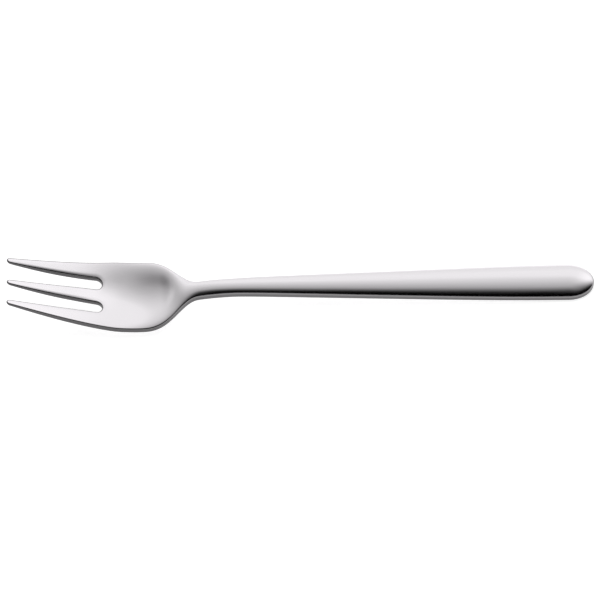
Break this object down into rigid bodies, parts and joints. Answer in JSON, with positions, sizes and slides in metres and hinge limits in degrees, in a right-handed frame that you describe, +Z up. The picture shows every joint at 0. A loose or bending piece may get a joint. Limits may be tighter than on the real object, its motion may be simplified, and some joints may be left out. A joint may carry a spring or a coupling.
{
  "type": "pastry fork",
  "caption": "Slim pastry fork with tapering tines, a shallow dished head, drawn-in shoulders and a long crowned handle with a round end.",
  "frame": {"origin": "middle of the bounding box at the level of the table that the fork lies on", "axes": "+X along the fork towards the end of the handle, so the tines point to -X; +Z up, out of the hollow side of the head; +Y across, towards the right tine"},
  "size_m": [0.156, 0.021, 0.0137],
  "materials": {
    "polished_steel": "soft polish, bright and slightly satin, on stainless steel"
  },
  "bodies": {
    "root": {"left_tine": "polished_steel", "middle_tine": "polished_steel", "right_tine": "polished_steel", "head": "polished_steel", "neck": "polished_steel", "handle": "polished_steel"}
  },
  "joints": []
}
